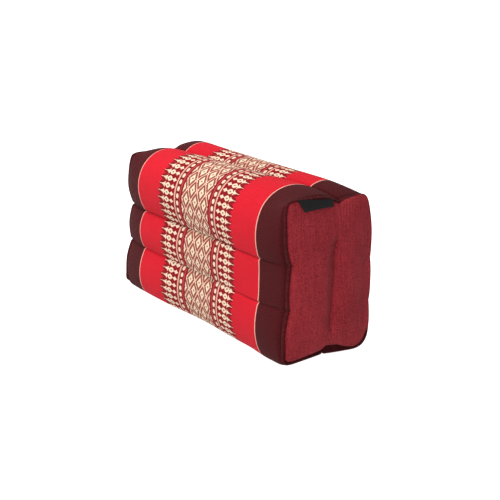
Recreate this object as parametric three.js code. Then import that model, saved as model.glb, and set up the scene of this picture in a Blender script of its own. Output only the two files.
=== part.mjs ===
// Kapok-stuffed yoga block cushion that stands on its long narrow side.
// Six stuffed channels, three high and two deep, run its whole length. One patterned cloth wraps round
// them and is sewn down between them, and a plain cloth panel closes each end.
// Units are millimetres. X runs along the length, Y from front (-) to back (+), Z up from the floor.
import * as THREE from "three";

// Driving dimensions
const LENGTH = 352; // over the full swell of both end panels
const END_CROWN = 8; // swell of an end panel past its sewn edge, before its crease draws it in
const SEAM_X = LENGTH / 2 - END_CROWN; // sewn edge of an end panel
const PANEL_THICKNESS = 2;
const GAP = 0.3; // clearance between neighbouring pieces
const PANEL_SEAT = PANEL_THICKNESS + 2 * GAP; // the cover's end lies this far behind a panel's outer face
const COVER_END_X = SEAM_X - PANEL_SEAT;

// Rounding of the cover towards its ends
const ROUND_LENGTH = 56; // stretch over which the channels taper
const END_TURN = (74 * Math.PI) / 180; // how far the taper has turned when it meets the end seam
const MID_SWELL = 1.8; // extra swell of a channel's crest at mid-length
const LEFT_SWELL = 2.8; // the left half is stuffed fuller than the right by this much either way
const BACK_SWELL = 4; // the left half of the back top channel is stuffed higher by this much
const LEFT_LEAN = 6; // the left end leans in at its top and out at its foot by this much
const TOP_SKEW = 4; // the top seam runs askew, back at the right end and forward at the left
const SEAM_PULL = 1.2; // sewing draws a channel seam's end this far towards the middle

// How far the channels' ends bulge past the sewn edge, and the share of it that is left at their seams
const END_PUFF = { right: 0.6, left: 5, atSeam: 0.4 };

// The front foot is stuffed less at mid-length, and more towards the right end between two places along it
const FOOT = { slack: 3.5, slackReach: 55, fill: 4, fromX: 90, toX: 150 };

// The front seams lie less deep towards the right end, between these places along it
const SEAM_EASE = { depth: 3, fromX: 30, toX: 100 };

// The top of the left end is drawn in. The pull grows upwards and towards the front.
const LEFT_PULL = { depth: 9, lowZ: 125, highZ: 170, frontY: -8, backY: 16 };

// The top corners of the left end: the front one sags and the back one stands higher. frontY and backY are
// the stretches over which each drop changes.
const LEFT_DROOP = { front: 0.5, back: -6, lowZ: 110, highZ: 170, frontY: [-18, 12], backY: [0, 20] };

// The top seam ends further forward at the left end, and so does the cloth beside it
const LEFT_SHIFT = { depth: 9, width: 14, lowZ: 120, highZ: 160 };

// How much higher an end panel's lower edge lies under its front half and under its back half
const LOW_RISE = { front: 1.8, back: 6, lowZ: 8, highZ: 28, turnY: [-9, 1], fadeY: [15, 45] };

// Mesh density
const STATIONS_STRAIGHT = 12;
const STATIONS_ROUND = 7;
const END_RINGS = 6;
const STEPS = { corner: 18, middle: 8 }; // steps round a corner channel and a middle channel
const EDGE_STEPS = 8; // steps of a corner channel that run along the end panel's top or bottom edge

// Channel seams round the full section and round the end outline
const SEAMS = {
  top: { y: 4, z: 170, endY: 14, endZ: 162 },
  frontUpper: { y: -51, z: 103.5, endY: -45.6, endZ: 104 },
  frontLower: { y: -51.5, z: 57, endY: -47.2, endZ: 58 },
  bottom: { y: 0, z: 9, endY: -3, endZ: 5.4 },
  backLower: { y: 51.5, z: 54, endY: 55.5, endZ: 54 },
  backUpper: { y: 51, z: 99, endY: 55.5, endZ: 98 },
};

// One row for each channel, in order round the section. leave and arrive are the handles of its full arc,
// and endPath holds the points of its end outline between the two seams, as y and z.
const CHANNELS = [
  { from: "top", to: "frontUpper", leave: [-41, 192], arrive: [-76.5, 146], steps: STEPS.corner,
    endPath: [[-3, 168], [-20, 169], [-47, 168], [-52.2, 158], [-52, 140], [-50.5, 121]] },
  { from: "frontUpper", to: "frontLower", leave: [-59, 89], arrive: [-58, 70], steps: STEPS.middle,
    endPath: [[-48.8, 80]] },
  { from: "frontLower", to: "bottom", leave: [-73, 10], arrive: [-36, -34], steps: STEPS.corner,
    endPath: [[-52, 36], [-52.3, 14], [-51.8, 5.5], [-45, 2.2], [-26, 3.6], [-12, 4.8]] },
  { from: "bottom", to: "backLower", leave: [36, -34], arrive: [73, 8], steps: STEPS.corner,
    endPath: [[18, 4.4], [42, 4.6], [53, 14], [55.8, 32]] },
  { from: "backLower", to: "backUpper", leave: [58, 67], arrive: [59, 86], steps: STEPS.middle,
    endPath: [[55.8, 76]] },
  { from: "backUpper", to: "top", leave: [76.5, 144], arrive: [42, 195], steps: STEPS.corner,
    endPath: [[55, 128], [51.2, 151.5], [46.5, 163.6], [38, 166]] },
];

// The rolled edge of the cover beside an end panel, from its last full ring into the seam: how far in from
// the outline each ring lies, how far past the seam, and its share of the panel edge's rise
const ROLL = [
  { inset: 0.8, ahead: -0.5, rise: 0.3 },
  { inset: 1.6, ahead: 0, rise: 0.7 },
  { inset: 2.2, ahead: -0.8, rise: 1 },
  { inset: 2.3, ahead: -PANEL_SEAT, rise: 1 },
];

// End panel: a crown with an upright crease drawn in along its middle. inset is how far its edge lies
// inside the cover's end outline.
const PANEL = { halfWidth: 50, halfHeight: 81, middleZ: 84.5, crownPower: 2.6, inset: 3 };
const CREASE = { topY: 9, topZ: 112, lowY: 6, lowZ: 44, halfWidth: 9, fadeZ: 26, share: 0.8 };

// Folded label sewn into the top seam of the right end
const LABEL = {
  leftY: -38, rightY: 3.6, leftZ: 168.6, rightZ: 164.6, dropLeft: 11.4, dropRight: 5.6,
  slantLeft: 5, slantRight: -3, thickness: 1.2, lift: 2,
};
const LABEL_STEPS = { across: 10, down: 4 };

const COLOURS = { cover: 0xd9283a, panel: 0x8a2c33, label: 0x161414 };

const { clamp, lerp, smoothstep } = THREE.MathUtils;

// The full arc of a channel between its two seams
function fullArc(row) {
  const a = SEAMS[row.from];
  const b = SEAMS[row.to];
  const marks = [[a.y, a.z], row.leave, row.arrive, [b.y, b.z]];
  return new THREE.CubicBezierCurve(...marks.map(([y, z]) => new THREE.Vector2(y, z)));
}

// The same channel at the end of the cover: a smooth path through the points of its outline
function endArc(row) {
  const a = SEAMS[row.from];
  const b = SEAMS[row.to];
  const marks = [[a.endY, a.endZ], ...row.endPath, [b.endY, b.endZ]];
  return new THREE.SplineCurve(marks.map(([y, z]) => new THREE.Vector2(y, z)));
}

// Points round the section: y and z of the full arc and of the end outline, crest, which is 0 on a seam
// and 1 at the middle of a channel, nearTop and nearFront, which are 1 on the top seam and on the front
// seams, and backTop and frontFoot, which are 1 on the back top channel and on the front bottom one
function sectionPoints() {
  return CHANNELS.flatMap((row) => {
    const full = fullArc(row).getSpacedPoints(row.steps);
    const end = endArc(row).getSpacedPoints(row.steps);
    return full.slice(0, -1).map((p, i) => {
      const share = i / row.steps;
      const crest = Math.sin(Math.PI * share);
      const fromTop = row.from === "top" ? share : row.to === "top" ? 1 - share : 1;
      const nearest = share < 0.5 ? row.from : row.to;
      return {
        y: p.x,
        z: p.y,
        endY: end[i].x,
        endZ: end[i].y,
        crest,
        nearTop: (1 - fromTop) ** 3,
        nearFront: nearest.startsWith("front") ? (1 - crest) ** 1.5 : 0,
        backTop: row.from === "backUpper" ? 1 : 0,
        frontFoot: row.from === "frontLower" ? 1 : 0,
      };
    });
  });
}

const SECTION = sectionPoints();
const HALF = SECTION.length / 2; // the front half runs from the top seam to the bottom seam

// Stations from the left end seam to the right one, as x and fullness (0 at the end seam, 1 along the middle)
function stations() {
  const start = COVER_END_X - ROUND_LENGTH;
  const right = [];
  for (let i = 0; i <= STATIONS_STRAIGHT / 2; i++) {
    right.push({ x: (start * 2 * i) / STATIONS_STRAIGHT, fullness: 1 });
  }
  for (let i = 1; i <= STATIONS_ROUND; i++) {
    const turn = (END_TURN * i) / STATIONS_ROUND;
    const x = start + (ROUND_LENGTH * Math.sin(turn)) / Math.sin(END_TURN);
    const fullness = (Math.cos(turn) - Math.cos(END_TURN)) / (1 - Math.cos(END_TURN));
    right.push({ x, fullness });
  }
  const left = right.slice(1).reverse().map(({ x, fullness }) => ({ x: -x, fullness }));
  return [...left, ...right];
}

// How far the sewing draws a point towards the middle of the length
const seamPull = (x, crest) => SEAM_PULL * (1 - crest) ** 2 * (x / SEAM_X);

// 1 at the left end, falling to 0 well before the middle
const nearLeft = (x) => clamp(-x / SEAM_X, 0, 1) ** 6;

// How far the lean of the left end and the pull at its top move a point along X
function leftLean(x, y, z) {
  const { depth, lowZ, highZ, frontY, backY } = LEFT_PULL;
  const towardsLeft = clamp(-x / SEAM_X, 0, 1) ** 2;
  const lean = (LEFT_LEAN * towardsLeft * (z - PANEL.middleZ)) / PANEL.halfHeight;
  return lean + depth * nearLeft(x) * smoothstep(z, lowZ, highZ) * (1 - smoothstep(y, frontY, backY));
}

// How far a point near the top corners of the left end is lowered
function leftDroop(x, y, z) {
  const { front, back, lowZ, highZ, frontY, backY } = LEFT_DROOP;
  const drop = front * (1 - smoothstep(y, ...frontY)) + back * smoothstep(y, ...backY);
  return drop * nearLeft(x) * smoothstep(z, lowZ, highZ);
}

// How far forward a point near the top seam lies at the left end
function leftShift(x, y, z) {
  const { depth, width, lowZ, highZ } = LEFT_SHIFT;
  const beside = Math.exp(-(((y - SEAMS.top.endY) / width) ** 2));
  return depth * beside * nearLeft(x) * smoothstep(z, lowZ, highZ);
}

// How far a channel's end bulges past the sewn edge
function endPuff(x, crest) {
  return (x > 0 ? END_PUFF.right : -END_PUFF.left) * lerp(END_PUFF.atSeam, 1, Math.sqrt(crest));
}

// Extra swell of the front foot along the length
function footSwell(x) {
  const slack = FOOT.slack * Math.exp(-((x / FOOT.slackReach) ** 2));
  return FOOT.fill * smoothstep(x, FOOT.fromX, FOOT.toX) - slack;
}

function coverPoint(point, { x, fullness }) {
  const towardsLeft = clamp(-x / SEAM_X, 0, 1);
  const uneven = MID_SWELL * Math.cos((Math.PI * x) / LENGTH) - (LEFT_SWELL * x) / SEAM_X;
  const extra = BACK_SWELL * point.backTop * towardsLeft + footSwell(x) * point.frontFoot;
  const swell = (uneven + extra) * point.crest * Math.sqrt(fullness);
  const outward = new THREE.Vector2(point.y, point.z - PANEL.middleZ).normalize();
  const skew = (TOP_SKEW * point.nearTop * fullness * x) / SEAM_X;
  const eased = smoothstep(x, SEAM_EASE.fromX, SEAM_EASE.toX);
  const ease = SEAM_EASE.depth * point.nearFront * fullness * eased;
  const roundY = lerp(point.endY, point.y, fullness) + outward.x * swell + skew - ease;
  const roundZ = lerp(point.endZ, point.z, fullness) + outward.y * swell;
  const z = roundZ - leftDroop(x, roundY, roundZ);
  const y = roundY - leftShift(x, roundY, z);
  const puff = endPuff(x, point.crest) * (1 - fullness) ** 2;
  return new THREE.Vector3(x - seamPull(x, point.crest) + puff + leftLean(x, y, z), y, Math.max(z, 0));
}

// How far the end panel swells past its sewn edge at a point of it
function panelCrown(y, z) {
  const across = Math.min(Math.abs(y / PANEL.halfWidth), 1);
  const upright = Math.min(Math.abs((z - PANEL.middleZ) / PANEL.halfHeight), 1);
  const pillow = (1 - across ** PANEL.crownPower) * (1 - upright ** PANEL.crownPower);
  const along = (z - CREASE.lowZ) / (CREASE.topZ - CREASE.lowZ);
  const creaseY = lerp(CREASE.lowY, CREASE.topY, along);
  const beyond = Math.max(CREASE.lowZ - z, z - CREASE.topZ, 0) / CREASE.fadeZ;
  const crease = Math.exp(-(((y - creaseY) / CREASE.halfWidth) ** 2)) * (1 - smoothstep(beyond, 0, 1));
  return END_CROWN * pillow * (1 - CREASE.share * crease);
}

// Where a point of the end outline comes to rest on the panel's crease line
function creasePoint(index) {
  const down = index <= HALF ? index : SECTION.length - index;
  const share = clamp((down - EDGE_STEPS) / (HALF - 2 * EDGE_STEPS), 0, 1);
  return new THREE.Vector2(
    lerp(CREASE.topY, CREASE.lowY, share),
    lerp(CREASE.topZ, CREASE.lowZ, share),
  );
}

// A closed skin built from rings of points. Points that coincide share one vertex.
class Skin {
  constructor() {
    this.positions = [];
    this.indices = [];
    this.known = new Map();
  }

  vertex(p) {
    const key = [p.x, p.y, p.z].map((c) => c.toFixed(4)).join(" ");
    if (!this.known.has(key)) {
      this.known.set(key, this.positions.length / 3);
      this.positions.push(p.x, p.y, p.z);
    }
    return this.known.get(key);
  }

  ring(points) {
    return points.map((p) => this.vertex(p));
  }

  triangle(a, b, c) {
    if (a !== b && b !== c && a !== c) this.indices.push(a, b, c);
  }

  // Joins two rings of equal count. The faces point outwards where the second ring lies ahead along +X, or
  // inside the first on a face that looks along +X. crossed turns the diagonal of each four-sided cell.
  band(first, second, { closed = true, crossed = false } = {}) {
    const count = first.length;
    for (let i = 0; i < (closed ? count : count - 1); i++) {
      const next = (i + 1) % count;
      this.triangle(first[i], first[next], crossed ? second[i] : second[next]);
      this.triangle(crossed ? first[next] : first[i], second[next], second[i]);
    }
  }

  geometry() {
    const made = new THREE.BufferGeometry();
    made.setAttribute("position", new THREE.Float32BufferAttribute(this.positions, 3));
    made.setIndex(this.indices);
    made.computeVertexNormals();
    return made;
  }
}

// A point of one end, inset from the cover's end outline towards the crease line. It stands ahead of the
// sewn edge, and on the panel's crown by the share given.
function endPoint(side, point, index, inset, ahead, crownShare) {
  const rim = new THREE.Vector2(point.endY, point.endZ);
  const crease = creasePoint(index);
  const inward = inset(rim.distanceTo(crease));
  const { x: flatY, y: flatZ } = rim.lerp(crease, inward);
  const z = flatZ - leftDroop(side * SEAM_X, flatY, flatZ);
  const y = flatY - leftShift(side * SEAM_X, flatY, z);
  const sewn = (1 - inward) ** 2;
  const out = SEAM_X + ahead - SEAM_PULL * (1 - point.crest) ** 2 * sewn + panelCrown(y, z) * crownShare;
  const puff = endPuff(side, point.crest) * sewn;
  return new THREE.Vector3(side * out + puff + leftLean(side * SEAM_X, y, z), y, z);
}

// How much higher the panel's edge lies at a point of the outline's foot
function lowRise({ endY, endZ }) {
  const { front, back, lowZ, highZ, turnY, fadeY } = LOW_RISE;
  const fade = 1 - smoothstep(endY, ...fadeY);
  const under = smoothstep(endY, ...turnY) * fade;
  return lerp(front, back, under) * fade * (1 - smoothstep(endZ, lowZ, highZ));
}

// Rings that cover one end, from the panel's edge in to the crease line. depth is how far the surface lies
// behind the panel's outer face.
function endRings(side, depth) {
  const rings = [];
  for (let r = 0; r <= END_RINGS; r++) {
    rings.push(
      SECTION.map((point, index) => {
        const edge = PANEL.inset + lowRise(point);
        const inset = (reach) => lerp(edge / reach, 1, r / END_RINGS);
        return endPoint(side, point, index, inset, -depth, r === 0 ? 0 : 1);
      }),
    );
  }
  return rings;
}

// Rings of the cover's rolled edge at one end
function rollRings(side) {
  return ROLL.map(({ inset, ahead, rise }) =>
    SECTION.map((point, index) => {
      const edge = inset + rise * lowRise(point);
      return endPoint(side, point, index, (reach) => edge / reach, ahead, 0);
    }),
  );
}

// The filled cover: channels along its length, closed behind each end panel
function coverGeometry() {
  const skin = new Skin();
  const left = [...rollRings(-1), ...endRings(-1, PANEL_SEAT)].reverse();
  const right = [...rollRings(1), ...endRings(1, PANEL_SEAT)];
  const along = stations().map((station) => SECTION.map((point) => coverPoint(point, station)));
  const rings = [...left, ...along, ...right].map((points) => skin.ring(points));
  for (let i = 0; i + 1 < rings.length; i++) skin.band(rings[i], rings[i + 1]);
  return skin.geometry();
}

// An end panel: a crowned cloth sheet inside the cover's rolled edge
function panelGeometry(side) {
  const skin = new Skin();
  const inner = endRings(side, PANEL_THICKNESS).map((points) => skin.ring(points));
  const outer = endRings(side, 0).map((points) => skin.ring(points));
  const join = (first, second, crossed) => {
    skin.band(...(side > 0 ? [first, second] : [second, first]), { crossed });
  };
  join(inner[0], outer[0], false);
  for (let r = 0; r < END_RINGS; r++) {
    join(outer[r], outer[r + 1], false);
    join(inner[r + 1], inner[r], true);
  }
  return skin.geometry();
}

// The label: a folded strip that hangs from the top seam over the panel, its free edge lifted a little
function labelGeometry() {
  const skin = new Skin();
  const face = (across, down, proud) => {
    const slant = lerp(LABEL.slantLeft, LABEL.slantRight, across);
    const drop = lerp(LABEL.dropLeft, LABEL.dropRight, across);
    const y = lerp(LABEL.leftY, LABEL.rightY, across) + slant * down;
    const z = lerp(LABEL.leftZ, LABEL.rightZ, across) - drop * down;
    const seat = SEAM_X + END_PUFF.right + panelCrown(y, z) + 2 * GAP;
    return new THREE.Vector3(seat + LABEL.lift * down ** 2 + proud, y, z);
  };
  const rings = [];
  for (let i = 0; i <= LABEL_STEPS.across; i++) {
    const across = i / LABEL_STEPS.across;
    const ring = [];
    for (let j = 0; j <= LABEL_STEPS.down; j++) {
      ring.push(face(across, j / LABEL_STEPS.down, LABEL.thickness));
    }
    for (let j = LABEL_STEPS.down; j >= 0; j--) ring.push(face(across, j / LABEL_STEPS.down, 0));
    rings.push(skin.ring(ring));
  }
  for (let i = 0; i + 1 < rings.length; i++) skin.band(rings[i], rings[i + 1]);
  const ends = [rings[0].slice().reverse(), rings[rings.length - 1]];
  for (const end of ends) {
    const half = end.length / 2;
    skin.band(end.slice(0, half), end.slice(half).reverse(), { closed: false });
  }
  return skin.geometry();
}

function piece(name, geometry, colour) {
  const material = new THREE.MeshStandardMaterial({ color: colour, roughness: 0.85, metalness: 0 });
  const mesh = new THREE.Mesh(geometry, material);
  mesh.name = name;
  return mesh;
}

const cushion = new THREE.Group();
cushion.add(piece("filled_cover", coverGeometry(), COLOURS.cover));
cushion.add(piece("end_panel_right", panelGeometry(1), COLOURS.panel));
cushion.add(piece("end_panel_left", panelGeometry(-1), COLOURS.panel));
cushion.add(piece("label_tab", labelGeometry(), COLOURS.label));

export default cushion;
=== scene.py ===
"""Looks of a stuffed yoga block cushion: a woven, channelled cover, two end panels and a bare label.

The cover is a grid of cloth that is puffed up by a short cloth simulation. Its UV map holds cloth
coordinates in metres, so the woven bands follow the cloth round every channel.
"""

import math
from collections import namedtuple

import bmesh
import bpy
import numpy as np
from mathutils import Matrix, Vector


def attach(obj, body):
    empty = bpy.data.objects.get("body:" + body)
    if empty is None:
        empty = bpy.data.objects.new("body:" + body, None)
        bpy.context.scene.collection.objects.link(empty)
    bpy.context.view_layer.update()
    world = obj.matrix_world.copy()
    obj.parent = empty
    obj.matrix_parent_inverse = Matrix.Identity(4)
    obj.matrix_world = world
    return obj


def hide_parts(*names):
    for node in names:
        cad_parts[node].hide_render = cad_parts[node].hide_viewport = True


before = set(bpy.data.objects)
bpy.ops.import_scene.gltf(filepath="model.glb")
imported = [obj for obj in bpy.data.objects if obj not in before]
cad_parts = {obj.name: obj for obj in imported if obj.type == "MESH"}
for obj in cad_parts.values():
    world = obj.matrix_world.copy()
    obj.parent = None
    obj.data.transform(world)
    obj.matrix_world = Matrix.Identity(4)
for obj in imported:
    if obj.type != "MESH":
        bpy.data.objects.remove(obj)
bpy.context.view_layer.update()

bl_info = {
    "name": "Yoga block cushion",
    "version": (1, 0, 0),
    "blender": (4, 5, 0),
    "location": "3D View > Sidebar > Cushion",
    "description": "Builds a stuffed yoga block with a woven cover, end panels and a label",
    "category": "Add Mesh",
}

MM = 0.001
BODY = "root"
COVER_NODE = "filled_cover"
PANEL_NODES = {"right": "end_panel_right", "left": "end_panel_left"}
LABEL_NODE = "label_tab"
SIDES = {"right": 1, "left": -1}
CLOTH_MAP = "Cloth"

# Shape of the block: lengths and places in millimetres, and shares and powers
SEAM_X = 168.0  # sewn edge of an end panel
COVER_END_X = 165.8  # where the cover turns in behind the panel
MIDDLE_Z = 84.5  # height of the middle of an end panel
PANEL_HALF_WIDTH = 50.0
PANEL_HALF_HEIGHT = 81.0
ROUND_LENGTH = 56.0  # stretch over which the channels taper
END_TURN = math.radians(74)  # how far the taper has turned at the end seam
MID_SWELL = 1.8  # extra swell of a crest at mid-length
LEFT_SWELL = 2.8  # the left half is stuffed fuller than the right
LEFT_LEAN = 6.0  # the left end leans in at its top and out at its foot
LEFT_TOP_PULL = 9.0  # the top of the left end is drawn in further by this much
LEFT_PULL_Z = (125.0, 170.0)  # that pull comes in over these heights
LEFT_PULL_Y = (16.0, -8.0)  # and from the back to the front between these depths
TOP_SKEW = 4.0  # the top seam runs askew
SEAM_PULL = 1.2  # sewing draws a seam's end towards the middle
SEAM_EASE = 3.0  # the front seams lie less deep towards the right end
SEAM_EASE_X = (30.0, 100.0)
LEFT_TOP_SHIFT = 9.0  # the top seam ends this much further forward at the left end
LEFT_SHIFT_WIDTH = 14.0  # how far from the seam that shift is felt
LEFT_SHIFT_Z = (120.0, 160.0)
LEFT_DROOP = {"front": 0.5, "back": -6.0}  # the left end's top corners hang down, or stand up
LEFT_DROOP_Y = {"front": (12.0, -18.0), "back": (0.0, 20.0)}  # depths over which each corner comes in
LEFT_DROOP_Z = (110.0, 170.0)
LEAN_POWER = 2  # how closely the lean of the left end keeps to it
LEFT_POWER = 6  # and how closely its other changes do
BACK_SWELL = 4.0  # the left half of the back top channel is stuffed higher
FOOT_SLACK = 3.5  # the front foot is stuffed less near the middle of the block
FOOT_SLACK_REACH = 55.0
FOOT_FILL = 4.0  # and more towards the right end
FOOT_FILL_X = (90.0, 150.0)
END_PUFF = {"right": 0.6, "left": 5.0}  # how far the channels' ends bulge past the sewn edge
PUFF_AT_SEAM = 0.4  # share of that at the channel seams
ON_SEAM = 0.01  # a point nearer than this to a channel seam lies on it
TUCK_REACH = 1.1  # how far from a channel seam its sewing draws in the cloth

# Channel seams round the full section and round the end of the cover, in millimetres
Seam = namedtuple("Seam", "y z end_y end_z")
SEAMS = {
    "bottom": Seam(0, 9, -3, 5.4),
    "front_lower": Seam(-51.5, 57, -47.2, 58),
    "front_upper": Seam(-51, 103.5, -45.6, 104),
    "top": Seam(4, 170, 14, 162),
    "back_upper": Seam(51, 99, 55.5, 98),
    "back_lower": Seam(51.5, 54, 55.5, 54),
}

# Channels from the bottom seam up the front, over the top and down the back. leave and arrive are the
# handles of the full arc, and end_path holds the points of the end outline between the two seams.
Channel = namedtuple("Channel", "start end leave arrive end_path")
CHANNELS = [
    Channel(
        "bottom", "front_lower", (-36, -34), (-73, 10),
        [(-12, 4.8), (-26, 3.6), (-45, 2.2), (-51.8, 5.5), (-52.3, 14), (-52, 36)],
    ),
    Channel("front_lower", "front_upper", (-58, 70), (-59, 89), [(-48.8, 80)]),
    Channel(
        "front_upper", "top", (-76.5, 146), (-41, 192),
        [(-50.5, 121), (-52, 140), (-52.2, 158), (-47, 168), (-20, 169), (-3, 168)],
    ),
    Channel(
        "top", "back_upper", (42, 195), (76.5, 144),
        [(38, 166), (46.5, 163.6), (51.2, 151.5), (55, 128)],
    ),
    Channel("back_upper", "back_lower", (59, 86), (58, 67), [(55.8, 76)]),
    Channel("back_lower", "bottom", (73, 8), (36, -34), [(55.8, 32), (53, 14), (42, 4.6), (18, 4.4)]),
]

# Charts of the woven repeats, one character for each thread cell and one line for each weft row, counted
# from the middle row of a motif outwards. See PALETTE for the characters.
ARROW_CHART = [
    ".cccccccccccccccc" "ooooo" "cccccccccccccccccccc",
    "..ccccccccc..ccccc" "ooo" "ccccc.cccccccc.......",
    "....ccccc.....ccccccccccc..ccccc......b...",
    ".....ccc.......ccccccccc...ccc......bbb...",
    "......c.........ccccccc....cc......bbb...r",
    "..................ccc......c...........rrr",
    "......................................rrrr",
    "....................................rrrrrr",
]
DOT_CHART = [
    ".cccccc...",
    ".cccccc..o",
    ".cccccc..o",
    "..cccc..oo",
    "..cccc..oo",
    "..b..b..oo",
    "bb.bb.b.oo",
    "bbbbbbb.oo",
]

# A quarter of the diamond lattice. Only the cells on and above its slant are read: the other half of the
# quarter is the same cells turned round.
LATTICE_CHART = [
    "coocccckookcc",
    "oocccckookkc.",
    "occcc.ookcc..",
    "ccccc.okkcc..",
    "cccc.ookoc...",
    "cccc.kokoc...",
    "ccc.ook.c....",
    "ccc.ookoc....",
    "cc.ookkc.....",
    "cc.okko......",
    "c.ookkc......",
    "c.okkc.......",
    ".ookkc.......",
    ".okkc........",
    "ookkc........",
    "okkc.........",
    "okc..........",
    "okc..........",
    "kc...........",
    "kc...........",
    "c............",
    "c............",
]
PALETTE = {
    ".": "ground_red",
    "r": "bright_red",
    "k": "rose",
    "c": "cream",
    "o": "olive",
    "b": "brown",
    "m": "maroon",
    "l": "line_pink",
}

# Bands of the cover cloth from its middle outwards, in thread cells: where each one ends and what fills it
Band = namedtuple("Band", "end fill")
BANDS = [
    Band(35, LATTICE_CHART),
    Band(39, "."),
    Band(42, "k"),
    Band(43, "."),
    Band(53, DOT_CHART),
    Band(56, "l"),
    Band(57, "."),
    Band(99, ARROW_CHART),
    Band(159, "r"),
    Band(161, "l"),
    Band(400, "m"),
]

# Unevenness of the cloths, as noise: how often it changes along each axis in a metre, its detail and
# roughness, and how far it shows in the colour and in the relief
Noise = namedtuple("Noise", "scale detail roughness tone relief")
COVER_NOISE = {
    "slub": Noise((60, 1500, 1), 3.0, 0.5, 0.30, 0.8),
    "warp_slub": Noise((1500, 60, 1), 3.0, 0.5, 0.26, 0),
    "cloud": Noise((28, 28, 28), 4.0, 0.5, 0.16, 0),
    "fleck": Noise((800, 800, 800), 2.0, 0.5, 0.60, 0),
}
COVER_TONE = 0.34  # tone of the cover without its unevenness
MAROON_FLECK = 1.5  # how much stronger the flecks are in the maroon ends
FIGURE_RELIEF = 0.9  # how far the cream weft stands up from the cloth
FIGURE_GLOSS = 0.12  # and how much smoother it is
COVER_RIBS = {"weft": 0.35, "warp": 0.2}
CLOTH_RELIEF = 0.12  # height of the cloths' relief, in millimetres
PANEL_NOISE = {
    "upright": Noise((300, 700, 40), 3.0, 0.6, 0.7, 0.8),
    "level": Noise((300, 45, 1300), 3.0, 0.6, 0.4, 0.6),
    "fine": Noise((950, 950, 950), 2.0, 0.5, 1.7, 0.3),
    "cloud": Noise((30, 30, 30), 3.0, 0.5, 0.4, 0),
}
PANEL_TONE = -1.1  # added to the noise, to give the share of dark thread
PANEL_RIBS = {"pitch": 0.5, "relief": 0.3}
TAPE_RIBS = {"across": 0.6, "down": 0.4, "relief": 0.5}  # two pitches in millimetres
TAPE_RELIEF = 0.08
TAPE_MOTTLE = 900.0
TAPE_FADING = 1.8  # how much paler the tape is where it is worn
THREAD_TWIST = (2500, 900, 900)
TWIST_SHADE = 0.6  # how dark the hollows of a twisted thread are

# Painted shadow of the groove beside the cover's rolled ends: a dark line in the cloth's colour, in
# millimetres from the middle of the block
GROOVE_SHADOW_LINE = {"x": 163.3, "half_width": 0.7, "shade": 0.85}


def linear(*screen):
    """A screen colour from 0 to 255 as the linear colour that a shader reads."""
    shares = [level / 255 for level in screen]
    return tuple(((s + 0.055) / 1.055) ** 2.4 if s > 0.04 else s / 12.92 for s in shares)


def colour_property(name, description, red, green, blue):
    """A colour that a user can change, given as a screen colour from 0 to 255."""
    return bpy.props.FloatVectorProperty(
        name=name, description=description, subtype="COLOR", size=3, min=0, max=1,
        default=linear(red, green, blue),
    )


def length_property(name, description, millimetres):
    """A length that a user can change, given in millimetres."""
    return bpy.props.FloatProperty(
        name=name, description=description, unit="LENGTH", precision=5, default=millimetres * MM,
    )


def number_property(name, description, value):
    """A plain number that a user can change."""
    return bpy.props.FloatProperty(name=name, description=description, default=value)


def angle_property(name, description, degrees):
    """An angle that a user can change, given in degrees."""
    return bpy.props.FloatProperty(
        name=name, description=description, subtype="ANGLE", default=math.radians(degrees),
    )


class CushionCover(bpy.types.PropertyGroup):
    """Sizes and colours of the woven cover."""

    warp_pitch: length_property("Warp pitch", "Width of a thread cell along the block", 0.785)
    weft_pitch: length_property("Weft pitch", "Height of a thread cell round the block", 0.564)
    drift: length_property("Drift", "How far the middle of the cloth lies towards the right end", 9.2)
    seam_tuck: length_property("Seam tuck", "How deep the sewing draws the cloth into a channel seam", 2.0)
    swell_cap: length_property("Swell cap", "Furthest that a point may move as the cover is puffed up", 4.0)
    slack: length_property("Slack", "How much flatter a crest is before it is puffed up", 1.2)
    pressure: number_property("Pressure", "Push of the stuffing", 4.0)
    bright_red: colour_property("Bright red", "Plain stretches of the cover", 177, 19, 34)
    ground_red: colour_property("Ground red", "Ground of the figured bands", 116, 11, 21)
    maroon: colour_property("Maroon", "Ends of the cover", 62, 13, 16)
    cream: colour_property("Cream", "Figured weft", 209, 182, 158)
    rose: colour_property("Rose", "Second figured weft", 154, 50, 57)
    olive: colour_property("Olive", "Hearts of the motifs", 94, 83, 58)
    brown: colour_property("Brown", "Shadow weft beside the arrow tips", 94, 16, 20)
    line_pink: colour_property("Line pink", "Lines between the bands", 204, 140, 127)


class CushionPanel(bpy.types.PropertyGroup):
    """Sizes and colours of the end panels."""

    crown: length_property("Crown", "Swell of a panel past its sewn edge", 8.0)
    crease: length_property("Crease", "Depth of the sharp fold along the middle", 5.0)
    thickness: length_property("Thickness", "Thickness of the panel with its turned edge", 1.4)
    red_thread: colour_property("Red thread", "Warp of the panel", 157, 50, 57)
    dark_thread: colour_property("Dark thread", "Weft of the panel", 91, 12, 20)


class CushionLabel(bpy.types.PropertyGroup):
    """Sizes and colours of the label."""

    thickness: length_property("Thickness", "Thickness of one layer of tape", 0.45)
    tape: colour_property("Tape", "Colour of the tape", 17, 16, 17)


class CushionStitch(bpy.types.PropertyGroup):
    """Sizes of the stitches in the channel seams."""

    length: length_property("Length", "Length of one stitch", 2.7)
    pitch: length_property("Pitch", "Distance from one stitch to the next", 3.4)
    thickness: length_property("Thickness", "Thickness of the thread", 0.45)
    thread: colour_property("Thread", "Colour of the thread", 84, 13, 20)


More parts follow.
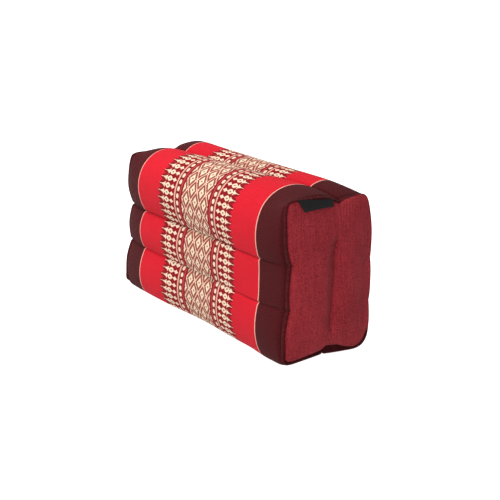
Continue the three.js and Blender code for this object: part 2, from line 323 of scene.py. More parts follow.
class CushionStage(bpy.types.PropertyGroup):
    """The camera, the floor and the light."""

    azimuth: angle_property("Azimuth", "Turn of the camera round the block", 57.0)
    elevation: angle_property("Elevation", "Height of the camera over the horizon", 14.85)
    roll: angle_property("Roll", "Lean of the camera", 0.5)
    place: bpy.props.FloatVectorProperty(
        name="Place", description="Where the camera stands", subtype="XYZ", unit="LENGTH", size=3,
        default=(0.9345, -0.5890, 0.3689),
    )
    lens: number_property("Lens", "Focal length in millimetres", 73.23)
    sky: number_property("Sky", "Strength of the light all round", 1.0)
    dimming: number_property("Dimming", "Share lost on the studio's dark side", 0.65)
    overhead: number_property("Overhead", "Power of the light above, in watts", 20.0)
    window: number_property("Window", "Power of the light at the front, in watts", 58.0)
    floor: colour_property("Floor", "Colour of the floor", 180, 180, 180)
    glow: number_property("Glow", "Light that the floor gives off", 1.0)


class Shade:
    """A value in a material's nodes, so that sums on it read as ordinary expressions."""

    def __init__(self, finish, socket):
        self.finish = finish
        self.socket = socket

    def math(self, operation, *others):
        return self.finish.add("ShaderNodeMath", {"operation": operation}, [self, *others])

    def __add__(self, other):
        return self.math("ADD", other)

    def __sub__(self, other):
        return self.math("SUBTRACT", other)

    def __rsub__(self, other):
        return self.finish.add("ShaderNodeMath", {"operation": "SUBTRACT"}, [other, self])

    def __mul__(self, other):
        return self.math("MULTIPLY", other)

    def __truediv__(self, other):
        return self.math("DIVIDE", other)

    def __mod__(self, other):
        return self.math("FLOORED_MODULO", other)

    def __lt__(self, other):
        return self.math("LESS_THAN", other)

    def __gt__(self, other):
        return self.math("GREATER_THAN", other)

    def __abs__(self):
        return self.math("ABSOLUTE")

    def __floor__(self):
        return self.math("FLOOR")

    __radd__ = __add__
    __rmul__ = __mul__


class Finish:
    """One material, built node by node."""

    def __init__(self, name):
        self.material = bpy.data.materials.new(name)
        self.material.use_nodes = True
        self.tree = self.material.node_tree
        self.shader = self.tree.nodes["Principled BSDF"]

    def add(self, kind, settings=None, inputs=(), output=0):
        """Adds a node with its settings and its sockets' values or links, and returns one output."""
        node = self.tree.nodes.new(kind)
        for name, value in (settings or {}).items():
            if name == "stops":
                self.set_stops(node.color_ramp, value)
            elif name == "interpolation" and kind == "ShaderNodeValToRGB":
                node.color_ramp.interpolation = value
            else:
                setattr(node, name, value)
        pairs = inputs.items() if isinstance(inputs, dict) else enumerate(inputs)
        for key, value in pairs:
            self.feed(node.inputs[key], value)
        return Shade(self, node.outputs[output])

    def feed(self, socket, value):
        if isinstance(value, Shade):
            self.tree.links.new(value.socket, socket)
        else:
            socket.default_value = value

    @staticmethod
    def set_stops(ramp, stops):
        while len(ramp.elements) > 1:
            ramp.elements.remove(ramp.elements[-1])
        for number, (place, colour) in enumerate(stops):
            element = ramp.elements[0] if number == 0 else ramp.elements.new(place)
            element.position = place
            element.color = (*colour, 1)

    def blend(self, share, first, second, mode="MIX"):
        """A colour between two colours."""
        colours = [c if isinstance(c, Shade) else (*c, 1) for c in (first, second)]
        settings = {"data_type": "RGBA", "blend_type": mode}
        return self.add("ShaderNodeMix", settings, {0: share, 6: colours[0], 7: colours[1]}, output=2)

    def noise(self, vector, scale, detail=2.0, roughness=0.5):
        inputs = {"Vector": vector, "Scale": scale, "Detail": detail, "Roughness": roughness}
        return self.add("ShaderNodeTexNoise", {}, inputs)

    def stretched(self, vector, scale):
        """The vector with each axis scaled by its own amount."""
        return self.add("ShaderNodeMapping", {}, {"Vector": vector, "Scale": scale})

    def uneven(self, vector, noises):
        """The noises of a cloth by their names, and their sums as a tone and as a relief."""
        made = {}
        tone = relief = 0
        for name, noise in noises.items():
            made[name] = self.noise(self.stretched(vector, noise.scale), 1.0, noise.detail, noise.roughness)
            tone = tone + made[name] * noise.tone
            if noise.relief:
                relief = relief + made[name] * noise.relief
        return made, tone, relief

    def ribs(self, place, pitches):
        """Waves along the axes of a vector, with a pitch in millimetres for each axis number."""
        parts = self.add("ShaderNodeSeparateXYZ", {}, [place]).socket.node
        return [
            (Shade(self, parts.outputs[axis]) * (2 * math.pi / (pitch * MM))).math("SINE")
            for axis, pitch in pitches.items()
        ]

    def bump(self, height, distance, strength=1.0):
        inputs = {"Strength": strength, "Distance": distance, "Height": height}
        return self.add("ShaderNodeBump", {}, inputs)

    def surface(self, **sockets):
        """Sets the shader's sockets, named with underscores for spaces."""
        for name, value in sockets.items():
            socket = self.shader.inputs[name.replace("_", " ")]
            if isinstance(value, tuple) and len(value) == 3 and socket.type == "RGBA":
                value = (*value, 1)
            self.feed(socket, value)
        return self.material


def palette_place(symbol):
    """Where a chart's character lies on the palette ramp, from 0 to 1."""
    return (list(PALETTE).index(symbol) + 0.5) / len(PALETTE)


def read_chart(finish, chart, column, row):
    """The palette place of a thread cell, from the chart line that its row number picks."""
    total = 0
    for number, line in enumerate(chart):
        starts = [i for i in range(len(line)) if i == 0 or line[i] != line[i - 1]]
        stops = [(i / len(line), (palette_place(line[i]),) * 3) for i in starts]
        settings = {"interpolation": "CONSTANT", "stops": stops}
        cell = finish.add("ShaderNodeValToRGB", settings, [(column + 0.5) / len(line)])
        total = total + row.math("COMPARE", number, 0.5) * cell
    return total


def folded(cells, count):
    """Cell numbers that repeat every count cells, as the distance from the middle of a repeat."""
    return abs(cells % count - count // 2)


def lattice_place(finish, column, row):
    """The palette place of a cell of the diamond lattice, whose rows of flowers are staggered."""
    wide = len(LATTICE_CHART[0]) - 1
    high = len(LATTICE_CHART) - 1
    across = folded(column + wide, 2 * wide)
    along = folded(row, 2 * high)
    beyond = (across * high + along * wide) > wide * high
    return read_chart(
        finish,
        LATTICE_CHART,
        across + beyond * (wide - across * 2),
        along + beyond * (high - along * 2),
    )


def band_place(finish, fill, start, column, row):
    """The palette place of a cell in one band of the cover."""
    if fill is LATTICE_CHART:
        return lattice_place(finish, column, row)
    if isinstance(fill, list):
        return read_chart(finish, fill, abs(column + 0.5) - 0.5 - start, folded(row, 2 * len(fill) - 2))
    return palette_place(fill)


def cover_material(cover):
    """Hand-woven cotton: figured bands in the middle, plain red beside them and maroon at the ends."""
    finish = Finish("woven_cover")
    cloth = finish.add("ShaderNodeUVMap", {"uv_map": CLOTH_MAP})
    parts = finish.add("ShaderNodeSeparateXYZ", {}, [cloth])
    along = parts / cover.warp_pitch
    girth = Shade(finish, parts.socket.node.outputs[1]) / cover.weft_pitch
    column = math.floor(along)
    row = math.floor(girth)
    distance = abs(along)

    place = palette_place(BANDS[-1].fill)
    starts = [0] + [band.end for band in BANDS[:-1]]
    for band, start in reversed(list(zip(BANDS[:-1], starts))):
        inside = distance < band.end
        place = place + inside * (band_place(finish, band.fill, start, column, row) - place)
    colours = [getattr(cover, name) for name in PALETTE.values()]
    stops = [(i / len(colours), tuple(colour)) for i, colour in enumerate(colours)]
    woven = finish.add("ShaderNodeValToRGB", {"interpolation": "CONSTANT", "stops": stops}, [place])

    noises, tone, relief = finish.uneven(cloth, COVER_NOISE)
    # Painted shadow: a thin dark line in the cloth's colour where the groove beside each rolled end lies,
    # multiplied into the cloth's random tone
    line = 1 - abs(abs(parts) - GROOVE_SHADOW_LINE["x"] * MM) / (GROOVE_SHADOW_LINE["half_width"] * MM)
    sewn = 1 - line.math("MAXIMUM", 0.0) * GROOVE_SHADOW_LINE["shade"]
    maroon_fleck = (distance > BANDS[-2].end) * (noises["fleck"] - 0.5)
    tone_and_groove_shadow = (tone + maroon_fleck * MAROON_FLECK + COVER_TONE) * sewn
    grey = finish.add("ShaderNodeCombineXYZ", {}, [tone_and_groove_shadow, tone_and_groove_shadow, tone_and_groove_shadow])
    coloured = finish.blend(1.0, woven, grey, "MULTIPLY")

    turn = 2 * math.pi
    weft_wave = (girth * turn).math("SINE")
    warp_wave = (along * (2 * turn)).math("SINE")
    figured = place.math("COMPARE", palette_place("c"), 0.5 / len(PALETTE))
    ribs = weft_wave * COVER_RIBS["weft"] + warp_wave * COVER_RIBS["warp"]
    return finish.surface(
        Base_Color=coloured,
        Roughness=0.92 - figured * FIGURE_GLOSS,
        Normal=finish.bump(ribs + figured * FIGURE_RELIEF + relief, CLOTH_RELIEF * MM),
        Specular_IOR_Level=0.05,
        Sheen_Weight=0.02,
        Sheen_Roughness=0.5,
    )


def panel_material(panel):
    """Plain cotton of red and dark threads, with slubs that run up the panel."""
    finish = Finish("burgundy_panel")
    place = finish.add("ShaderNodeTexCoord", output=3)
    _, tone, relief = finish.uneven(place, PANEL_NOISE)
    mixed = finish.blend(tone + PANEL_TONE, panel.red_thread[:], panel.dark_thread[:])
    warp, weft = finish.ribs(place, {1: PANEL_RIBS["pitch"], 2: PANEL_RIBS["pitch"]})
    return finish.surface(
        Base_Color=mixed,
        Roughness=0.9,
        Normal=finish.bump((warp + weft) * PANEL_RIBS["relief"] + relief, CLOTH_RELIEF * MM),
        Specular_IOR_Level=0.05,
        Sheen_Weight=0.03,
        Sheen_Roughness=0.5,
    )


def label_material(label):
    """Bare woven tape."""
    finish = Finish("label_tape")
    place = finish.add("ShaderNodeTexCoord", output=3)
    rib, cross = finish.ribs(place, {1: TAPE_RIBS["across"], 2: TAPE_RIBS["down"]})
    mottle = finish.noise(place, TAPE_MOTTLE, 3.0)
    tape = tuple(label.tape)
    faded = finish.blend(mottle, tape, tuple(c * TAPE_FADING for c in tape))
    return finish.surface(
        Base_Color=faded,
        Roughness=0.7,
        Normal=finish.bump((rib + cross) * TAPE_RIBS["relief"], TAPE_RELIEF * MM),
        Specular_IOR_Level=0.12,
    )


def thread_material(stitch):
    """Twisted sewing thread."""
    finish = Finish("sewing_thread")
    place = finish.add("ShaderNodeTexCoord", output=3)
    twist = finish.noise(finish.stretched(place, THREAD_TWIST), 1.0, 2.0)
    thread = tuple(stitch.thread)
    shaded = finish.blend(twist, tuple(c * TWIST_SHADE for c in thread), thread)
    return finish.surface(Base_Color=shaded, Roughness=0.7, Specular_IOR_Level=0.25)


def spaced(path, shares):
    """Points of a path at shares of its length, and that length."""
    steps = np.linalg.norm(np.diff(path, axis=0), axis=1)
    along = np.concatenate([[0], np.cumsum(steps)])
    points = [np.interp(np.asarray(shares) * along[-1], along, path[:, axis]) for axis in range(2)]
    return np.stack(points, axis=1), along[-1]


ARC_STEPS = 400  # steps of a dense path round a channel at mid-length
END_STEPS = 40  # and between two points of the end outline


def full_arc(channel):
    """The section of a channel at mid-length, as a dense path."""
    start, end = SEAMS[channel.start], SEAMS[channel.end]
    t = np.linspace(0, 1, ARC_STEPS)[:, None]
    corners = ((start.y, start.z), channel.leave, channel.arrive, (end.y, end.z))
    a, b, c, d = (np.array(corner, float) for corner in corners)
    return (1 - t) ** 3 * a + 3 * (1 - t) ** 2 * t * b + 3 * (1 - t) * t**2 * c + t**3 * d


def end_arc(channel):
    """The same channel at the end of the cover: a smooth path through the points of its outline."""
    start, end = SEAMS[channel.start], SEAMS[channel.end]
    marks = [(start.end_y, start.end_z), *channel.end_path, (end.end_y, end.end_z)]
    marks = np.array([marks[0], *marks, marks[-1]], float)
    t = np.linspace(0, 1, END_STEPS)[:, None]
    runs = []
    for a, b, c, d in zip(marks, marks[1:], marks[2:], marks[3:]):
        bend = (2 * a - 5 * b + 4 * c - d) * t**2 + (3 * b - a - 3 * c + d) * t**3
        runs.append(b + ((c - a) * t + bend) / 2)
    return np.concatenate([runs[0], *(run[1:] for run in runs[1:])])


# Distances of the first cloth rows from a channel seam, and the spacing of the rest, in millimetres
SEAM_ROWS = [0, 0.7, 1.6, 2.9, 4.8]
ROW_SPACING = 3.4


def channel_shares(length):
    """Shares of a channel's length at which the cloth has rows, close together beside its two seams."""
    near = np.array(SEAM_ROWS) / length
    count = round((length - 2 * SEAM_ROWS[-1]) / ROW_SPACING)
    middle = np.linspace(near[-1], 1 - near[-1], count + 1)
    return np.concatenate([near[:-1], middle, (1 - near[:0:-1])])


Section = namedtuple(
    "Section", "y z end_y end_z crest near_top near_front back_top front_foot girth seam_gap",
)
NEAR_TOP_POWER = 3
NEAR_FRONT_POWER = 1.5


def cover_section():
    """Points round the block from the bottom seam on, without the last, which closes the ring."""
    columns = {name: [] for name in Section._fields}
    girth = 0.0
    for channel in CHANNELS:
        length = spaced(full_arc(channel), [0, 1])[1]
        shares = channel_shares(length)[:-1]
        full, _ = spaced(full_arc(channel), shares)
        outline, _ = spaced(end_arc(channel), shares)
        crest = np.sin(math.pi * shares)
        towards_top = shares * (channel.end == "top") + (1 - shares) * (channel.start == "top")
        at_front = np.where(shares < 0.5, "front" in channel.start, "front" in channel.end)
        columns["y"].append(full[:, 0])
        columns["z"].append(full[:, 1])
        columns["end_y"].append(outline[:, 0])
        columns["end_z"].append(outline[:, 1])
        columns["crest"].append(crest)
        columns["near_top"].append(towards_top**NEAR_TOP_POWER)
        columns["near_front"].append(at_front * (1 - crest) ** NEAR_FRONT_POWER)
        columns["back_top"].append(shares * 0 + (channel.end == "back_upper"))
        columns["front_foot"].append(shares * 0 + (channel.start == "bottom"))
        columns["girth"].append(girth + shares * length)
        columns["seam_gap"].append(np.minimum(shares, 1 - shares) * length)
        girth += length
    return Section(**{name: np.concatenate(parts) for name, parts in columns.items()}), girth


def cover_stations(straight=52, rounded=20):
    """x and fullness of the rings along the block: 0 at an end seam, 1 along the middle."""
    start = COVER_END_X - ROUND_LENGTH
    turn = np.linspace(0, END_TURN, rounded + 1)[1:]
    x = start + ROUND_LENGTH * np.sin(turn) / math.sin(END_TURN)
    fullness = (np.cos(turn) - math.cos(END_TURN)) / (1 - math.cos(END_TURN))
    middle = np.linspace(-start, start, straight + 1)
    return (
        np.concatenate([-x[::-1], middle, x]),
        np.concatenate([fullness[::-1], np.ones(straight + 1), fullness]),
    )


def ramp(value, ends):
    """0 at the first of two ends and 1 at the second, with a smooth rise between them."""
    t = np.clip((value - ends[0]) / (ends[1] - ends[0]), 0, 1)
    return t * t * (3 - 2 * t)


def near_left(x, power=1):
    """0 along the right half of the block, rising to 1 at its left end."""
    return np.clip(-x / SEAM_X, 0, 1) ** power


def left_lean(x, y, z):
    """How far the lean of the left end moves a point along X."""
    lean = LEFT_LEAN * near_left(x, LEAN_POWER) * (z - MIDDLE_Z) / PANEL_HALF_HEIGHT
    return lean + LEFT_TOP_PULL * near_left(x, LEFT_POWER) * ramp(z, LEFT_PULL_Z) * ramp(y, LEFT_PULL_Y)


def left_shift(x, y, z):
    """How far forward a point near the top seam lies at the left end."""
    near = np.exp(-(((y - SEAMS["top"].end_y) / LEFT_SHIFT_WIDTH) ** 2)) * ramp(z, LEFT_SHIFT_Z)
    return LEFT_TOP_SHIFT * near * near_left(x, LEFT_POWER)


def left_droop(x, y, z):
    """How far the top corners of the left end hang down at a point near them."""
    corners = sum(LEFT_DROOP[part] * ramp(y, LEFT_DROOP_Y[part]) for part in LEFT_DROOP)
    return corners * ramp(z, LEFT_DROOP_Z) * near_left(x, LEFT_POWER)


def end_puff(x, crest):
    """How far a channel's end bulges past the sewn edge."""
    share = PUFF_AT_SEAM + (1 - PUFF_AT_SEAM) * crest**0.5
    return np.where(x > 0, END_PUFF["right"], -END_PUFF["left"]) * share


def cover_grid(section, slack):
    """The cover's points, ring by ring from the left end to the right, in millimetres."""
    x, fullness = (column[:, None] for column in cover_stations())
    uneven = MID_SWELL * np.cos(math.pi * x / (2 * SEAM_X)) - LEFT_SWELL * x / SEAM_X - slack
    uneven = uneven + BACK_SWELL * section.back_top * near_left(x)
    foot = FOOT_FILL * ramp(x, FOOT_FILL_X) - FOOT_SLACK * np.exp(-((x / FOOT_SLACK_REACH) ** 2))
    uneven = uneven + foot * section.front_foot
    swell = uneven * section.crest * fullness**0.5
    outward = np.stack([section.y, section.z - MIDDLE_Z], axis=1)
    outward /= np.linalg.norm(outward, axis=1)[:, None]
    skew = TOP_SKEW * section.near_top * fullness * x / SEAM_X
    ease = SEAM_EASE * section.near_front * fullness * ramp(x, SEAM_EASE_X)
    y = section.end_y + (section.y - section.end_y) * fullness + outward[:, 0] * swell + skew - ease
    z = section.end_z + (section.z - section.end_z) * fullness + outward[:, 1] * swell
    pull = SEAM_PULL * (1 - section.crest) ** 2 * (x / SEAM_X)
    puff = end_puff(x, section.crest) * (1 - fullness) ** 2
    z = z - left_droop(x, y, z)
    y = y - left_shift(x, y, z)
    return np.stack([x - pull + puff + left_lean(x, y, z), y, np.maximum(z, 0)], axis=2)


# The rolled edge of the cover beside an end panel, from its last full ring into the seam: how far in from
# the outline each ring lies, and how far past the seam, in millimetres
Roll = namedtuple("Roll", "inset ahead")
ROLL = [
    Roll(0.25, -1.0),
    Roll(0.8, 0.1),
    Roll(1.6, 0.6),
    Roll(2.35, 0.1),
    Roll(2.7, -1.2),
    Roll(2.75, -4.5),
]
ROLL_GROOVE = [0, 0.4, 2.6, 0.5]  # depth of the groove beside the roll, by rings from the end seam
FLUSH_INSET = 0.75  # how much of the roll and the welt is missing where the panel lies flush with the cover
FLUSH_DEPTH = 1.0  # how much deeper the cover's edge lies there
FLUSH_Y = (8.0, 22.0)  # depths and heights over which the panel comes to lie flush
FLUSH_Z = (14.0, 30.0)
CAP_STEPS = 4
CAP_DEPTH = 6.0  # how far the hidden end of the cover is drawn in
CAP_RINGS = len(ROLL) + CAP_STEPS
HIDDEN_RINGS = CAP_STEPS + 2  # rings of an end that lie out of sight, in the seam and behind the panel


def flush_share(y, z):
    """1 along the top and side of a panel's back half, where it is pulled flush with the cover."""
    return ramp(y, FLUSH_Y) * ramp(z, FLUSH_Z)


def inward_normals(outline):
    """Directions into a closed outline, square to it."""
    run = np.roll(outline, -1, axis=0) - np.roll(outline, 1, axis=0)
    square = np.stack([-run[:, 1], run[:, 0]], axis=1)
    square /= np.linalg.norm(square, axis=1)[:, None]
    towards = outline.mean(axis=0) - outline
    return square * np.sign((square * towards).sum(axis=1).sum())


def cap_rings(ring, side):
    """Rings that roll an end of the cover over into its seam and close it behind the panel."""
    inward = inward_normals(ring[:, 1:])
    flush = flush_share(ring[:, 1], ring[:, 2])
    rings = []
    for roll in ROLL:
        points = ring.copy()
        points[:, 0] += side * (SEAM_X - COVER_END_X + roll.ahead - FLUSH_DEPTH * flush)
        points[:, 1:] += inward * (roll.inset * (1 - FLUSH_INSET * flush))[:, None]
        rings.append(points)
    sewn = rings[-1]
    middle = np.array([sewn[:, 0].mean(), sewn[:, 1].mean(), MIDDLE_Z])
    for number in range(1, CAP_STEPS + 1):
        share = number / CAP_STEPS
        points = sewn + (middle - sewn) * share
        points[:, 0] -= side * CAP_DEPTH
        rings.append(points)
    return rings


def ring_faces(count, rings):
    """Quads that join closed rings of equal count, one after another."""
    quads = []
    for r in range(rings - 1):
        for i in range(count):
            j = (i + 1) % count
            quads.append((r * count + i, (r + 1) * count + i, (r + 1) * count + j, r * count + j))
    return quads


def make_object(name, points, faces, material, edges=()):
    """A mesh object at the origin, from points in metres."""
    mesh = bpy.data.meshes.new(name)
    mesh.from_pydata([tuple(p) for p in points], list(edges), faces)
    mesh.materials.append(material)
    mesh.update()
    made = bpy.data.objects.new(name, mesh)
    bpy.context.collection.objects.link(made)
    return made


def shade_smooth(piece):
    piece.data.polygons.foreach_set("use_smooth", [True] * len(piece.data.polygons))
    piece.data.update()


def settle(piece):
    """Turns a piece with its modifiers into a plain mesh."""
    graph = bpy.context.evaluated_depsgraph_get()
    mesh = bpy.data.meshes.new_from_object(piece.evaluated_get(graph), depsgraph=graph)
    piece.modifiers.clear()
    old = piece.data
    piece.data = mesh
    mesh.name = piece.name
    bpy.data.meshes.remove(old)


def puff(piece, held, pressure, frames=20):
    """Points of a piece after its cloth has been blown up, with the held points kept still."""
    group = piece.vertex_groups.new(name="sewn")
    group.add([int(i) for i in held], 1.0, "REPLACE")
    cloth = piece.modifiers.new("Cloth", "CLOTH")
    cloth.settings.quality = 6
    cloth.settings.mass = 0.2
    cloth.settings.tension_stiffness = 20
    cloth.settings.compression_stiffness = 12
    cloth.settings.shear_stiffness = 6
    cloth.settings.bending_stiffness = 0.4
    cloth.settings.use_pressure = True
    cloth.settings.uniform_pressure_force = pressure
    cloth.settings.vertex_group_mass = group.name
    cloth.settings.shrink_min = -0.02
    cloth.settings.effector_weights.gravity = 0
    cloth.collision_settings.use_collision = False
    cloth.point_cache.frame_start = 1
    cloth.point_cache.frame_end = frames
    for number in range(1, frames + 1):
        bpy.context.scene.frame_set(number)
    graph = bpy.context.evaluated_depsgraph_get()
    made = piece.evaluated_get(graph).to_mesh()
    points = np.empty(len(made.vertices) * 3)
    made.vertices.foreach_get("co", points)
    piece.evaluated_get(graph).to_mesh_clear()
    piece.modifiers.remove(cloth)
    piece.vertex_groups.remove(group)
    bpy.context.scene.frame_set(1)
    return points.reshape(-1, 3)


DRIFT_POWER = 2.5  # how closely the drift of the cloth keeps to the middle of the block


def map_cloth(piece, section, girth, drift):
    """Gives the cover its cloth coordinates: along the block, and round it from the bottom seam."""
    count = len(section.y)
    x, _ = cover_stations()
    ahead = np.concatenate([[x[0]] * CAP_RINGS, x, [x[-1]] * CAP_RINGS])
    lay = (ahead - drift * (1 - (ahead / SEAM_X) ** 2) ** DRIFT_POWER) * MM
    layer = piece.data.uv_layers.new(name=CLOTH_MAP)
    corners = np.empty(len(piece.data.loops), dtype=int)
    piece.data.loops.foreach_get("vertex_index", corners)
    column = corners % count
    v = section.girth[column]
    per_face = column.reshape(-1, 4)
    closing = (per_face == 0) & ((per_face == count - 1).any(axis=1))[:, None]
    v = np.where(closing.ravel(), girth, v) * MM
    layer.data.foreach_set("uv", np.stack([lay[corners // count], v], axis=1).ravel())


def tuck_seams(grid, section, depth):
    """Draws the cloth beside each channel seam into the block."""
    inward = np.stack([-section.y, MIDDLE_Z - section.z], axis=1)
    inward /= np.linalg.norm(inward, axis=1)[:, None]
    share = depth * np.exp(-((section.seam_gap / TUCK_REACH) ** 2))
    tucked = grid.copy()
    tucked[:, :, 1:] += inward * share[:, None]
    return tucked


def groove_roll(grid):
    """Draws in the cloth beside the rolled edge at each end, as its stitching does."""
    for number, depth in enumerate(ROLL_GROOVE):
        for ring in (grid[number], grid[-1 - number]):
            flush = flush_share(ring[:, 1] / MM, ring[:, 2] / MM)
            ring[:, 1:] += inward_normals(ring[:, 1:]) * (depth * MM * (1 - flush))[:, None]


def tidy_mesh(piece):
    """Merges points that coincide and turns every face outwards."""
    mesh = bmesh.new()
    mesh.from_mesh(piece.data)
    bmesh.ops.remove_doubles(mesh, verts=mesh.verts, dist=1e-6)
    bmesh.ops.recalc_face_normals(mesh, faces=mesh.faces)
    mesh.to_mesh(piece.data)
    mesh.free()
    shade_smooth(piece)


class CUSHION_OT_cover(bpy.types.Operator):
    """Build the woven cover over its stuffing"""

    bl_idname = "cushion.cover"
    bl_label = "Cover"

    def execute(self, context):
        cover = context.scene.cushion_cover
        section, girth = cover_section()
        count = len(section.y)
        grid = cover_grid(section, cover.slack / MM)
        rings = [*cap_rings(grid[0], -1)[::-1], *grid, *cap_rings(grid[-1], 1)]
        points = np.concatenate(rings) * MM
        piece = make_object("cover", points, ring_faces(count, len(rings)), cover_material(cover))
        map_cloth(piece, section, girth, cover.drift / MM)

        row = np.arange(len(points)) // count
        capped = (row <= CAP_RINGS) | (row >= len(rings) - CAP_RINGS - 1)
        sewn = np.tile(section.seam_gap < ON_SEAM, len(rings))
        moved = puff(piece, np.nonzero(capped | sewn)[0], cover.pressure) - points
        far = np.linalg.norm(moved, axis=1)[:, None]
        points = points + moved * np.minimum(1, cover.swell_cap / np.maximum(far, 1e-9))
        rows = points.reshape(len(rings), count, 3)
        shown = slice(HIDDEN_RINGS, -HIDDEN_RINGS)
        rows[shown] = tuck_seams(rows[shown], section, cover.seam_tuck)
        groove_roll(rows[CAP_RINGS:-CAP_RINGS])
        points = rows.reshape(-1, 3)
        points[:, 2] = np.maximum(points[:, 2], 0)
        piece.data.vertices.foreach_set("co", points.ravel())

        crease = piece.data.attributes.new("crease_edge", "FLOAT", "EDGE")
        ends = np.array([edge.vertices[:] for edge in piece.data.edges]) % count
        on_seam = section.seam_gap[ends] < ON_SEAM
        crease.data.foreach_set("value", (on_seam.all(axis=1) & (ends[:, 0] == ends[:, 1])).astype(float))
        tidy_mesh(piece)
        smooth = piece.modifiers.new("Subdivision", "SUBSURF")
        smooth.levels = smooth.render_levels = 1
        settle(piece)
        shade_smooth(piece)
        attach(piece, BODY)
        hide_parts(COVER_NODE)
        return {"FINISHED"}


CREASE_TOP = (9.0, 112.0)  # y and z of the upper end of a panel's crease, in millimetres
CREASE_LOW = (6.0, 44.0)
CREASE_HALF_WIDTH = 12.0
CREASE_FADE = 26.0  # how far past its ends the crease fades out
CREASE_SHARE = 0.45  # how much of the crown the hollow beside the crease takes away
FOLD_WIDTHS = {"front": 4.5, "back": 1.2}  # how fast the sharp fold dies away on its two sides
FOLD_SHARES = (1 / 7, 6 / 7)  # shares of the crease between which the sharp fold comes in
CROWN_POWER = 2.6
CROWN_START = (2.0, 8.0)  # insets between which the crown of a panel comes in
OUTLINE_STEPS = {"corner": 84, "middle": 40}  # points round a panel for each channel
EDGE_STEPS = 40  # points of the top or bottom edge that run to one end of the crease
PANEL_RINGS = 36
BACK_STRIDE = 3  # the back of a panel has one ring for this many of its face

# The sewn edge of a panel, from its back round the turned edge and then over the welt and the groove beside
# it: how far in from the cover's outline each ring lies, and how far it stands out past the crown
Welt = namedtuple("Welt", "inset rise")
TURNED_EDGE = [Welt(3.9, -3.4), Welt(3.4, -3.4), Welt(3.05, -3.0), Welt(3.05, -2.4)]
WELT = [
    Welt(3.3, -1.7),
    Welt(3.9, -1.0),
    Welt(4.7, -0.5),
    Welt(5.8, -0.2),
    Welt(7.4, 0.0),
    Welt(9.5, 0.0),
]
# How much higher a panel's lower edge lies under its two halves, where one half gives way to the other, and
# the heights and depths over which the rise fades out
LOW_EDGE_RISE = {"front": 1.8, "back": 6.0}
LOW_EDGE_TURN_Y = (-9.0, 1.0)
LOW_EDGE_FADE_Y = (45.0, 15.0)
LOW_EDGE_FADE_Z = (28.0, 8.0)

# Fine folds that start at a panel's edges: the point that they fan out from, the seam that they start at,
# the stretch of the fan in degrees from upright, and the spacing, height and reach in millimetres
Fan = namedtuple("Fan", "y z seam_z start end spacing height reach")
FANS = [
    Fan(9, 40, 165, -4, 18, 2.9, 1.1, 50),
    Fan(9, 40, 165, -26, -5, 3.6, 0.3, 22),
    Fan(6, 130, 8, 156, 204, 4.2, 0.3, 18),
]
FOLD_SEED = 5
FOLD_JITTER = (-0.3, 0.3)  # how far a fold lies from its even place, as shares of the spacing
FOLD_HEIGHTS = (0.25, 1.0)  # shares of a fan's height and reach
FOLD_REACHES = (0.35, 1.0)
FOLD_WIDTH = 0.33  # width of a fold as a share of the spacing
# Points where a channel seam pulls at a panel's edge: y and z in millimetres
PULLS = [(-44.5, 103.5), (-46, 57.5), (14, 160), (9.5, 105)]
PULL_DEPTH = 1.2
PULL_REACH = 9.0


def crease_share(y, z):
    """1 on a panel's crease, fading to 0 away from it, and the distance from its line."""
    along = (z - CREASE_LOW[1]) / (CREASE_TOP[1] - CREASE_LOW[1])
    away = y - (CREASE_LOW[0] + (CREASE_TOP[0] - CREASE_LOW[0]) * along)
    beyond = np.maximum(np.maximum(CREASE_LOW[1] - z, z - CREASE_TOP[1]), 0) / CREASE_FADE
    return np.exp(-((away / CREASE_HALF_WIDTH) ** 2)) * ramp(beyond, (1, 0)), away


def fan_folds(fan, y, z, rng):
    """Height of the fine folds of one fan."""
    turn = np.degrees(np.arctan2(y - fan.y, z - fan.z)) % 360
    turn = np.where((turn > 180) & (fan.end < 180), turn - 360, turn)
    away = np.abs(z - fan.seam_z)
    step = math.degrees(fan.spacing / abs(fan.seam_z - fan.z))
    total = 0
    for middle in np.arange(fan.start, fan.end, step):
        centre = middle + step * rng.uniform(*FOLD_JITTER)
        tall = fan.height * rng.uniform(*FOLD_HEIGHTS)
        reach = fan.reach * rng.uniform(*FOLD_REACHES)
        aside = (turn - centre) / (FOLD_WIDTH * step)
        total = total + tall * np.exp(-((away / reach) ** 2) - aside**2)
    return total


def panel_rise(panel, y, z):
    """How far a panel swells past its sewn edge at a point of it, in millimetres."""
    across = np.minimum(np.abs(y / PANEL_HALF_WIDTH), 1)
    upright = np.minimum(np.abs((z - MIDDLE_Z) / PANEL_HALF_HEIGHT), 1)
    crease, away = crease_share(y, z)
    pillow = (1 - across**CROWN_POWER) * (1 - upright**CROWN_POWER)
    rise = panel.crown / MM * pillow * (1 - CREASE_SHARE * crease)
    width = np.where(away < 0, FOLD_WIDTHS["front"], FOLD_WIDTHS["back"])
    rise = rise - panel.crease / MM * np.exp(-np.abs(away) / width) * ramp(crease, FOLD_SHARES)
    for pull_y, pull_z in PULLS:
        rise = rise - PULL_DEPTH * np.exp(-((y - pull_y) ** 2 + (z - pull_z) ** 2) / PULL_REACH**2)
    rng = np.random.default_rng(FOLD_SEED)
    for fan in FANS:
        rise = rise + fan_folds(fan, y, z, rng)
    return rise


def panel_outline():
    """Rim points of a panel from the bottom seam on, and 0 at a channel seam to 1 between two seams."""
    rim, crest = [], []
    for channel in CHANNELS:
        corner = "bottom" in channel[:2] or "top" in channel[:2]
        steps = OUTLINE_STEPS["corner" if corner else "middle"]
        shares = np.arange(steps) / steps
        rim.append(spaced(end_arc(channel), shares)[0])
        crest.append(np.sin(math.pi * shares))
    return np.concatenate(rim), np.concatenate(crest)


